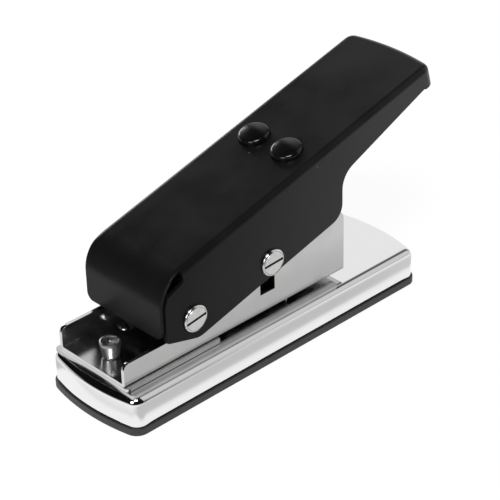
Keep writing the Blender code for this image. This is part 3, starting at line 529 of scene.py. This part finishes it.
def makeLever():
    bm = bmesh.new()
    half, bend, top = cover["half"], cover["bend"], cover["top"]
    fold = top - bend
    lean = math.radians(cover["flangeLean"])
    footU, footW = cover["flangeFoot"]
    behind = (cover["sheet"] + cover["slit"]) / math.cos(lean)
    bendX = footU + (top - footW) * math.tan(lean) + cover["flangeBend"] * math.tan((math.pi / 2 - lean) / 2)
    slitTop = footU + behind + (cover["slitTop"] - footW) * math.tan(lean)
    tipRadius = (half ** 2 + cover["bulge"] ** 2) / (2 * cover["bulge"])
    side = half - cover["tipCorner"]
    reach = math.sqrt((tipRadius - cover["tipCorner"]) ** 2 - side ** 2)
    tipX = cover["tip"] - tipRadius
    cornerX = tipX + reach
    tipAngle = math.atan2(side, reach)
    slitLow = footU + behind + (cover["slitLow"] - footW) * math.tan(lean)
    cheek = [(bendX, fold, 0), (bendX, *cover["holeHigh"]), cover["holeLow"], (slitTop, cover["slitTop"], 0),
             (slitLow, cover["slitLow"], 0), (*cover["cheekFront"], 0),
             cover["cheekLow"], cover["heel"], cover["tailRoot"], (*cover["tailEnd"], 0), (*cover["lip"], 0),
             (cornerX, cover["lip"][1], 0), (cornerX, fold, 0)]
    bmesh.ops.contextual_create(bm, geom=traceLoop(bm, *filletPath(cheek)))
    bmesh.ops.rotate(bm, verts=bm.verts, cent=(0, 0, 0), matrix=Matrix.Rotation(math.radians(90), 3, "X"))
    bmesh.ops.translate(bm, verts=bm.verts, vec=(0, -half, 0))
    ridge = [e for e in bm.edges if all(same(v.co.z, fold) for v in e.verts)]
    bmesh.ops.spin(bm, geom=ridge, cent=(0, bend - half, fold), axis=(1, 0, 0), angle=math.radians(-90),
                   steps=rounds["bend"])
    # tail corner and lip
    chain = [e for e in bm.edges if all(same(v.co.x, cornerX) for v in e.verts)]
    made = bmesh.ops.spin(bm, geom=chain, cent=(cornerX, -side, 0), axis=(0, 0, 1),
                          angle=math.pi / 2 - tipAngle, steps=rounds["corner"])["geom_last"]
    chain = [item for item in made if isinstance(item, bmesh.types.BMEdge)]
    bmesh.ops.spin(bm, geom=chain, cent=(tipX, 0, 0), axis=(0, 0, 1), angle=tipAngle, steps=rounds["corner"])
    inner = [v for v in bm.verts if same(v.co.z, top)]
    middle = penLine(bm, min(inner, key=lambda v: v.co.x), bendX, 0)
    bmesh.ops.contextual_create(bm, geom=[middle, max(inner, key=lambda v: v.co.y)])
    rim = [e for e in bm.edges if len(e.link_faces) < 2 and all(same(v.co.z, top) for v in e.verts)]
    bmesh.ops.contextual_create(bm, geom=rim)
    # front flange, bent with the first part of the side bend
    closed = math.radians(90 / rounds["bend"] * cover["closedSteps"])
    lowest = fold + bend * math.cos(closed) - close["line"]
    made = [e for e in bm.edges if all(same(v.co.x, bendX) and v.co.z > lowest for v in e.verts)]
    axle = top - cover["flangeBend"]
    bendSteps = rounds["bend"] * 2
    for step in range(1, bendSteps + 1):
        made = bmesh.ops.spin(bm, geom=made, cent=(bendX, 0, axle), axis=(0, -1, 0),
                              angle=(math.pi / 2 - lean) / bendSteps, steps=1)["geom_last"]
        blend = min(1.0, step / bendSteps / cover["growOver"]) ** 2
        for vert in {v for v in made if isinstance(v, bmesh.types.BMVert) and v.co.y < bend - half - close["line"]}:
            arm = Vector((vert.co.x - bendX, vert.co.z - axle))
            grown = arm * (1 + (cover["flangeBend"] / arm.length - 1) * blend)
            vert.co.x, vert.co.z = bendX + grown.x, axle + grown.y
    edges = [item for item in made if isinstance(item, bmesh.types.BMEdge)]
    made = bmesh.ops.extrude_edge_only(bm, edges=edges)["geom"]
    low = [item for item in made if isinstance(item, bmesh.types.BMVert)]
    fall = low[0].co.z - footW
    bmesh.ops.translate(bm, verts=low, vec=(-fall * math.tan(lean), 0, -fall))
    # its lower corner, rounded by a few cuts
    radius = cover["flangeCorner"]
    centre = Vector((0, min(v.co.y for v in low) + radius, footW + radius))
    for step in range(1, rounds["bend"]):
        turn = math.radians(90 * step / rounds["bend"])
        way = Vector((0, -math.cos(turn), -math.sin(turn)))
        bm.normal_update()
        flat = [f for f in bm.faces if abs(f.normal.x) > cover["flatFacing"] and f.calc_center_median().x < bendX]
        geom = list({v for f in flat for v in f.verts}) + list({e for f in flat for e in f.edges}) + flat
        bmesh.ops.bisect_plane(bm, geom=geom, dist=close["cut"], plane_co=centre + way * radius, plane_no=way,
                               clear_outer=True)
    bmesh.ops.mirror(bm, geom=bm.faces[:] + bm.edges[:] + bm.verts[:], matrix=Matrix.Identity(4),
                     merge_dist=close["join"], axis="Y")
    finishPiece("leverCover", bm, enamel, "lever", ["lever"], onLever=True,
                sheet=cover["sheet"], edge=cover["edge"])


# Pins: a headed barrel from the near side closed by a screw from the far side, slots across both heads
pins = {"face": 16.65, "end": 16.35, "shank": 2.0, "screwShank": 1.2, "screwLength": 11.0, "chamfer": 0.2,
        "slotHalf": 0.4, "slotFloor": 0.35, "washerFace": 14.15,
        "head": [(0, 0.35), (3.65, 0.35), (3.65, 0.74), (3.73, 0.8), (3.85, 0.76), (4.0775, 0.625), (4.2, 0.38),
                 (4.2, 0), (0, 0)],
        "cheeks": [(0, 0.8), (3.53, 0.8), (3.61, 0.7), (3.61, 0.35), (0, 0.35)],
        "washer": [(2.15, 1.0), (4.25, 1.0), (4.4, 0.85), (4.4, 0.15), (4.25, 0.0), (2.15, 0.0), (2.15, 1.0)],
        "pivot": (0.0, 0.0, 8.0), "drive": (30.3, -2.98, -12.0)}


def slottedHead(bm, at, side, slotDeg):
    # A round head whose rim runs on past both ends of its slot, with a raised cheek on either side of the slot
    before = set(bm.verts)
    turnProfile(bm, pins["head"])
    # the slot floor takes the second material, dark grey painted shade
    for face in bm.faces:
        if all(v not in before and same(v.co.z, pins["slotFloor"]) for v in face.verts):
            face.material_index = 1
    lower = set(bm.verts)
    turnProfile(bm, pins["cheeks"])

    def raised():
        verts = [v for v in bm.verts if v not in lower]
        edges = list({e for v in verts for e in v.link_edges})
        return verts, edges, verts + edges + list({f for v in verts for f in v.link_faces})

    bmesh.ops.bisect_plane(bm, geom=raised()[2], dist=close["cut"], plane_co=(0, pins["slotHalf"], 0),
                           plane_no=(0, 1, 0), clear_inner=True)
    bmesh.ops.holes_fill(bm, edges=[e for e in raised()[1] if len(e.link_faces) == 1])
    bmesh.ops.mirror(bm, geom=raised()[2], matrix=Matrix.Identity(4), merge_dist=close["cut"], axis="Y")
    drawn = [v for v in bm.verts if v not in before]
    bmesh.ops.rotate(bm, verts=drawn, cent=(0, 0, 0),
                     matrix=Matrix.Rotation(math.radians(90 if side < 0 else -90), 3, "X"))
    bmesh.ops.rotate(bm, verts=drawn, cent=(0, 0, 0), matrix=Matrix.Rotation(math.radians(-slotDeg), 3, "Y"))
    bmesh.ops.translate(bm, verts=drawn, vec=(at[0], side * pins["face"], at[1]))


def makePins():
    for name, body, lift in (("pivot", "base", True), ("drive", "lever", False)):
        u, w, slotDeg = pins[name]
        at = (placing["pivotX"] + u, placing["pivotZ"] + w) if lift else (u, w)
        for part, side, shank, length in (("barrel", -1, pins["shank"], pins["face"] + pins["end"]),
                                          ("screw", 1, pins["screwShank"], pins["screwLength"])):
            bm = bmesh.new()
            slottedHead(bm, at, side, slotDeg)
            chamfer = pins["chamfer"]
            ends = [(0, 0), (shank, 0), (shank, chamfer - length), (shank - chamfer, -length), (0, -length)]
            shaft = set(turnProfile(bm, ends, at=(at[0], side * pins["face"], at[1]),
                                    facing="Y" if side > 0 else "-Y"))
            # shank faces take the third material, a darker grey
            for face in bm.faces:
                if shaft.issuperset(face.verts):
                    face.material_index = 2
            piece = finishPiece(f"{name}{part.capitalize()}", bm, turnedNickel, body, [f"{name}_{part}"],
                                onLever=not lift)
            # second material: painted shade for the slot floors
            for coat in (slotPaintedShade, darkShankSteel):
                piece.data.materials.append(coat)
        for end, side in (("Near", -1), ("Far", 1)):
            bm = bmesh.new()
            turnProfile(bm, pins["washer"], at=(at[0], side * pins["washerFace"], at[1]),
                        facing="Y" if side > 0 else "-Y")
            finishPiece(f"{name}Washer{end}", bm, nylon, body, [f"{name}_washer_{end.lower()}"],
                        onLever=not lift)


# Punch: a pick-shaped column of tool steel, whose CAD solid is right as it is
def dressPunch():
    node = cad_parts["punch"]
    node.data.materials.clear()
    node.data.materials.append(groundSteel)


# Domed rivets on the lever, and the cups that they hold under it
rivets = {"x": 52.5, "y": 6.7, "gap": 0.15, "dome": 3.7, "domeHigh": 0.35, "shoulder": 1.75, "roll": 1.1,
          "rollSteps": 6, "lap": 0.12, "foot": 0.25,
          "tail": [(1.6, -0.95), (2.3, -0.95), (2.1, -1.5), (1.5, -1.75), (0, -1.75)],
          "cup": [(1.75, 0), (4.2, 0), (4.6, -0.15), (4.8, -0.6), (4.8, -2.3), (4.7, -2.4), (4.3, -2.4),
                  (4.2, -2.3), (4.2, -0.8), (1.75, -0.8), (1.75, 0)]}


def domePoints(radius, height, base):
    # Points of a low dome from its crown out to its rim
    sphere = (radius ** 2 + height ** 2) / (2 * height)
    spread = math.asin(radius / sphere)
    steps = rounds["dome"]
    return [(sphere * math.sin(spread * i / steps), base + height - sphere * (1 - math.cos(spread * i / steps)))
            for i in range(steps + 1)]


def makeLeverRivets():
    seat = cover["top"] + rivets["gap"]
    under = cover["top"] - cover["sheet"] - rivets["gap"]
    dome, roll, lap, shoulder = rivets["dome"], rivets["roll"], rivets["lap"], seat + rivets["shoulder"]
    rim = dome + roll
    for end, side in (("Near", -1), ("Far", 1)):
        at = (rivets["x"], side * rivets["y"], 0)
        bm = bmesh.new()
        profile = domePoints(dome, rivets["domeHigh"], shoulder)
        turns = [math.radians(90 * i / rivets["rollSteps"]) for i in range(1, rivets["rollSteps"] + 1)]
        profile += [(dome + roll * math.sin(turn), shoulder + roll * (math.cos(turn) - 1)) for turn in turns]
        profile += [(rim, seat + rivets["foot"]), (rim + lap, seat), (rim + lap, seat - lap),
                    (rivets["tail"][0][0], seat - lap)]
        profile += [(radius, under + height) for radius, height in rivets["tail"]]
        turnProfile(bm, profile, at=at)
        finishPiece(f"leverRivet{end}", bm, glossEnamel, "lever", [f"lever_rivet_{end.lower()}"],
                    onLever=True)
        bm = bmesh.new()
        turnProfile(bm, [(radius, under + height) for radius, height in rivets["cup"]], at=at)
        finishPiece(f"springCup{end}", bm, turnedNickel, "lever", [f"spring_cup_{end.lower()}"],
                    onLever=True)


# Return springs between the studs on the frame's floor and the cups in the lever
springs = {"foot": (80.0, 17.62), "head": (74.176, 55.026), "pressedHead": (80.06, 40.55), "y": 6.7,
           "wire": 0.42, "wireSides": 10, "coil": 3.15, "curls": 9, "endPitch": 1.35, "steps": 24,
           "stud": [(0, 20.05), (1.2, 20.05), (1.55, 19.9), (1.7, 19.55), (1.7, 16.55), (1.8, 16.45),
                    (4.05, 16.45), (4.2, 16.3), (4.2, 15.5), (0, 15.5)]}


def makeSprings():
    foot, head = Vector(springs["foot"]), Vector(springs["head"])
    length = (head - foot).length
    middle = springs["curls"] - 2
    pitches = [(1, springs["endPitch"]), (middle, (length - 2 * springs["endPitch"]) / middle),
               (1, springs["endPitch"])]
    for end, side in (("Near", -1), ("Far", 1)):
        bm = bmesh.new()
        ring = bmesh.ops.create_circle(bm, radius=springs["wire"], segments=springs["wireSides"])["verts"]
        bmesh.ops.rotate(bm, verts=ring, cent=(0, 0, 0), matrix=Matrix.Rotation(math.radians(90), 3, "X"))
        bmesh.ops.translate(bm, verts=ring, vec=(springs["coil"], 0, 0))
        edges = bm.edges[:]
        for curls, pitch in pitches:
            steps = springs["steps"] * curls
            made = bmesh.ops.spin(bm, geom=edges, cent=(0, 0, 0), axis=(0, 0, 1), angle=math.tau * curls,
                                  steps=steps, dvec=(0, 0, pitch * curls / steps))["geom_last"]
            edges = [item for item in made if isinstance(item, bmesh.types.BMEdge)]
        bmesh.ops.holes_fill(bm, edges=[e for e in bm.edges if len(e.link_faces) == 1])
        lean = math.atan2(head.x - foot.x, head.y - foot.y)
        bmesh.ops.rotate(bm, verts=bm.verts, cent=(0, 0, 0), matrix=Matrix.Rotation(lean, 3, "Y"))
        bmesh.ops.translate(bm, verts=bm.verts, vec=(foot.x, side * springs["y"], foot.y))
        spring = finishPiece(f"returnSpring{end}", bm, springWire, "base",
                             [f"return_spring_{end.lower()}"])
        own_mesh(spring)
        bm = bmesh.new()
        turnProfile(bm, springs["stud"], at=(foot.x, side * springs["y"], 0))
        finishPiece(f"springStud{end}", bm, turnedNickel, "base", [f"spring_stud_{end.lower()}"])


# Recessed post at the nose, two domed rivets behind it, and the die plate's flush rivets
studs = {"postX": 9.8, "floor": 15.52, "postHigh": 5.03, "rivetX": 23.0, "rivetY": 8.8, "dieX": 78.3, "dieY": 8.5,
         "postTop": [(0, -0.75), (0.35, -0.72), (0.5, -0.5), (0.65, -0.42), (2.1, -0.38), (2.3, -0.3), (2.38, -0.06),
                     (2.5, 0), (2.75, 0), (2.95, -0.1), (3.08, -0.4), (3.05, -0.9)],
         "postFoot": [(2.5, 0.55), (2.42, 0.4), (2.0, 0.3), (2.0, 0), (1.9, 0)],
         "postTail": [(1.9, 10.85), (2.6, 10.85), (1.9, 10.05), (0, 10.05)],
         "floorDome": (2.7, 1.1, 0.13), "floorTail": [(1.4, 10.85), (2.0, 10.85), (1.4, 10.05), (0, 10.05)],
         "dieRivet": [(0, 13.05), (1.35, 13.05), (1.5, 12.95), (1.5, 10.85), (2.17, 10.85), (1.5, 10.05),
                      (0, 10.05)]}


def makeStuds():
    floor = studs["floor"]
    profile = [(radius, floor + studs["postHigh"] + height) for radius, height in studs["postTop"]]
    profile += [(radius, floor + height) for radius, height in studs["postFoot"]] + studs["postTail"]
    bm = bmesh.new()
    turnProfile(bm, profile, at=(studs["postX"], 0, 0))
    finishPiece("frontPost", bm, satinNickel, "base", ["front_post"])
    radius, height, rim = studs["floorDome"]
    tail = studs["floorTail"]
    dome = domePoints(radius, height, floor + rim) + [(radius, floor), (tail[0][0], floor)] + tail
    for end, side in (("Near", -1), ("Far", 1)):
        bm = bmesh.new()
        turnProfile(bm, dome, at=(studs["rivetX"], side * studs["rivetY"], 0))
        finishPiece(f"floorRivet{end}", bm, turnedNickel, "base", [f"floor_rivet_{end.lower()}"])
        bm = bmesh.new()
        turnProfile(bm, studs["dieRivet"], at=(studs["dieX"], side * studs["dieY"], 0))
        finishPiece(f"dieRivet{end}", bm, turnedNickel, "base", [f"die_rivet_{end.lower()}"])


makeTray()
makeBase()
makePlate("diePlate", plates["die"], groundSteel, ["die_plate"], hole=plates["die"]["gap"])
makePlate("spacerPlate", plates["spacer"], frameNickel, ["spacer_plate"])
print("base, tray and plates made")
makeFrame()
makeStuds()
print("frame made")
makeLever()
makeLeverRivets()
makePins()
makeSprings()
dressPunch()
print("lever, pins, springs and punch dressed")


# Camera where the photograph was taken from
view = {"spot": (-0.32675, -0.35689, 0.32428), "turn": (58.536, 1.2596, -43.6507), "lens": 139.64, "sensor": 36.0}


def makeCamera():
    data = bpy.data.cameras.new("camera")
    data.lens = view["lens"]
    data.sensor_width = view["sensor"]
    camera = bpy.data.objects.new("camera", data)
    camera.location = view["spot"]
    camera.rotation_euler = [math.radians(angle) for angle in view["turn"]]
    bpy.context.scene.collection.objects.link(camera)
    bpy.context.scene.camera = camera


# White table and studio with soft lamps. The metal mirrors a dark wall beyond the nose, a bright one elsewhere,
# and a table painted with light and shade, seen only in reflections, that follow the distance from the base and the
# place along it
# the table's bands, glow and shade lists are painted light and shade, seen only in the metal's reflections
studio = {"floorSide": 3.0, "floorWhite": 0.9, "shadow": 0.14, "seen": 1.03, "baseHalf": (0.0595, 0.019),
          "paintedBands": [(0.0, 1.0), (0.0052, 1.0), (0.0075, 0.55), (0.016, 0.55), (0.028, 0.68), (0.05, 0.68),
                      (0.085, 0.28), (0.13, 0.28), (0.3, 0.95)],
          "glow": [(-0.13, 0), (-0.095, 0.9), (-0.072, 0.9), (-0.0595, 0), (0.03, 0), (0.14, 0.75)],
          "shade": [(-0.13, 0.15), (-0.1, 1)],
          "skyTurn": [(0, 0.93), (43, 0.93), (58, 0.45), (70, 0.1), (90, 0.1), (101, 0.6), (110, 0.68), (145, 0.68),
                      (153, 0.56), (163, 0.6), (172, 0.93), (180, 0.93)],
          "darkWall": 0.004, "wallWay": (0.966, 0.0, 0.259), "wallSpan": (0.50, 0.60), "lowSky": (0.2, 0.06),
          "farSky": (0.65, 0.85), "ambient": 0.5, "aim": (0, 0, 0.03),
          "lamps": [("keyLamp", (-0.50, -0.48, 1.05), 0.4, 8.0), ("fillLamp", (-0.95, -0.2, 0.5), 0.4, 3.0),
                    ("rearLamp", (0.2, 0.95, 0.4), 0.4, 3.0)]}


def brightness(tree, measured):
    # Greys at measured places, from the studio's lists of (place, brightness)
    greys = []
    for name, value in measured.items():
        first, span = studio[name][0][0], studio[name][-1][0] - studio[name][0][0]
        share = addNode(tree, "ShaderNodeMapRange", {"From Min": first, "From Max": first + span}, {"Value": value})
        ramp = addNode(tree, "ShaderNodeValToRGB", None, {"Fac": share.outputs["Result"]})
        ramp.color_ramp.interpolation = "EASE"
        elements = ramp.color_ramp.elements
        elements.remove(elements[1])
        for i, (place, level) in enumerate(studio[name]):
            element = elements[0] if i == 0 else elements.new((place - first) / span)
            element.color = (level, level, level, 1.0)
        greys.append(ramp.outputs["Color"])
    return greys


def makeTable():
    bm = bmesh.new()
    bmesh.ops.create_grid(bm, x_segments=1, y_segments=1, size=studio["floorSide"] / 2)
    mesh = bpy.data.meshes.new("table")
    bm.to_mesh(mesh)
    bm.free()
    table = bpy.data.objects.new("table", mesh)
    bpy.context.scene.collection.objects.link(table)
    # White card: plain white to the eye with a faint shadow; in reflections it shows painted light and shade, in bands
    # by distance from the base, a painted glow along it and painted shade beyond the nose
    paper = bpy.data.materials.new("whiteCard")
    paper.use_nodes = True
    tree = paper.node_tree
    tree.nodes.clear()
    white = [1.0] * 4
    place = addNode(tree, "ShaderNodeTexCoord").outputs["Object"]
    apart = addNode(tree, "ShaderNodeVectorMath", None, {0: place}, operation="ABSOLUTE")
    beyond = addNode(tree, "ShaderNodeVectorMath", {1: (*studio["baseHalf"], 0)}, {0: apart.outputs[0]},
                     operation="SUBTRACT")
    outside = addNode(tree, "ShaderNodeVectorMath", {1: (0, 0, 0)}, {0: beyond.outputs[0]}, operation="MAXIMUM")
    distance = addNode(tree, "ShaderNodeVectorMath", None, {0: outside.outputs[0]}, operation="LENGTH")
    along = addNode(tree, "ShaderNodeSeparateXYZ", None, {0: place}).outputs["X"]
    # painted light and shade for glossy rays: bands by distance from the base, glow and shade along x
    pool, glow, shade = brightness(tree, {"paintedBands": distance.outputs["Value"], "glow": along, "shade": along})
    lifted = addNode(tree, "ShaderNodeMix", {7: white}, {0: glow, 6: pool}, data_type="RGBA")
    mirrored = addNode(tree, "ShaderNodeMix", {0: 1.0}, {6: lifted.outputs[2], 7: shade}, data_type="RGBA",
                       blend_type="MULTIPLY").outputs[2]
    path = addNode(tree, "ShaderNodeLightPath")
    direct = addNode(tree, "ShaderNodeMath", None, {0: path.outputs["Is Camera Ray"],
                                                    1: path.outputs["Is Transmission Ray"]}, operation="MAXIMUM")
    colour = addNode(tree, "ShaderNodeMix", {7: white}, {0: direct.outputs[0], 6: mirrored}, data_type="RGBA")
    matt = addNode(tree, "ShaderNodeBsdfDiffuse", {"Color": [studio["floorWhite"]] * 3 + [1.0]})
    lit = addNode(tree, "ShaderNodeEmission", {"Strength": studio["seen"]}, {"Color": colour.outputs[2]})
    mixed = addNode(tree, "ShaderNodeMixShader", {0: 1 - studio["shadow"]}, {1: matt.outputs[0], 2: lit.outputs[0]})
    seen = addNode(tree, "ShaderNodeMath", None, {0: direct.outputs[0], 1: path.outputs["Is Glossy Ray"]},
                   operation="MAXIMUM")
    shown = addNode(tree, "ShaderNodeMixShader", None, {0: seen.outputs[0], 1: matt.outputs[0], 2: mixed.outputs[0]})
    addNode(tree, "ShaderNodeOutputMaterial", None, {"Surface": shown.outputs[0]})
    mesh.materials.append(paper)


def makeStudio():
    world = bpy.data.worlds.new("studio")
    world.use_nodes = True
    bpy.context.scene.world = world
    tree = world.node_tree
    tree.nodes.clear()
    direction = addNode(tree, "ShaderNodeTexCoord").outputs["Generated"]
    parts = addNode(tree, "ShaderNodeSeparateXYZ", None, {0: direction})
    turn = addNode(tree, "ShaderNodeMath", None, {0: parts.outputs["Z"], 1: parts.outputs["Y"]}, operation="ARCTAN2")
    degrees = addNode(tree, "ShaderNodeMath", None, {0: turn.outputs[0]}, operation="DEGREES")
    sky, = brightness(tree, {"skyTurn": degrees.outputs[0]})
    facing = addNode(tree, "ShaderNodeVectorMath", {1: studio["wallWay"]}, {0: direction}, operation="DOT_PRODUCT")
    spans = {"wallSpan": facing.outputs["Value"], "lowSky": parts.outputs["Z"], "farSky": parts.outputs["Y"]}
    clear, low, far = [addNode(tree, "ShaderNodeMapRange", {"From Min": studio[name][0], "From Max": studio[name][1]},
                               {"Value": value}, interpolation_type="SMOOTHSTEP").outputs["Result"]
                       for name, value in spans.items()]
    horizon = addNode(tree, "ShaderNodeMath", None, {0: low, 1: far}, operation="MULTIPLY")
    bright = addNode(tree, "ShaderNodeMath", None, {0: clear, 1: horizon.outputs[0]}, operation="MAXIMUM")
    colour = addNode(tree, "ShaderNodeMix", {6: [studio["darkWall"]] * 3 + [1.0]}, {0: bright.outputs[0], 7: sky},
                     data_type="RGBA")
    path = addNode(tree, "ShaderNodeLightPath")
    mirrored = addNode(tree, "ShaderNodeBackground", {"Strength": 1.0}, {"Color": colour.outputs[2]})
    ambient = addNode(tree, "ShaderNodeBackground", {"Color": [1.0] * 4, "Strength": studio["ambient"]})
    white = addNode(tree, "ShaderNodeBackground", {"Color": [1.0] * 4, "Strength": 1.0})
    glossy = addNode(tree, "ShaderNodeMixShader", None,
                     {0: path.outputs["Is Glossy Ray"], 1: ambient.outputs[0], 2: mirrored.outputs[0]})
    shown = addNode(tree, "ShaderNodeMixShader", None,
                    {0: path.outputs["Is Camera Ray"], 1: glossy.outputs[0], 2: white.outputs[0]})
    addNode(tree, "ShaderNodeOutputWorld", None, {"Surface": shown.outputs[0]})

    for name, spot, size, power in studio["lamps"]:
        data = bpy.data.lights.new(name, "AREA")
        data.shape = "SQUARE"
        data.size = size
        data.energy = power
        lamp = bpy.data.objects.new(name, data)
        lamp.location = spot
        lamp.rotation_euler = (Vector(studio["aim"]) - Vector(spot)).to_track_quat("-Z", "Y").to_euler()
        bpy.context.scene.collection.objects.link(lamp)


makeCamera()
makeTable()
makeStudio()
bpy.context.scene.view_settings.view_transform = "Standard"
print("camera and studio made")
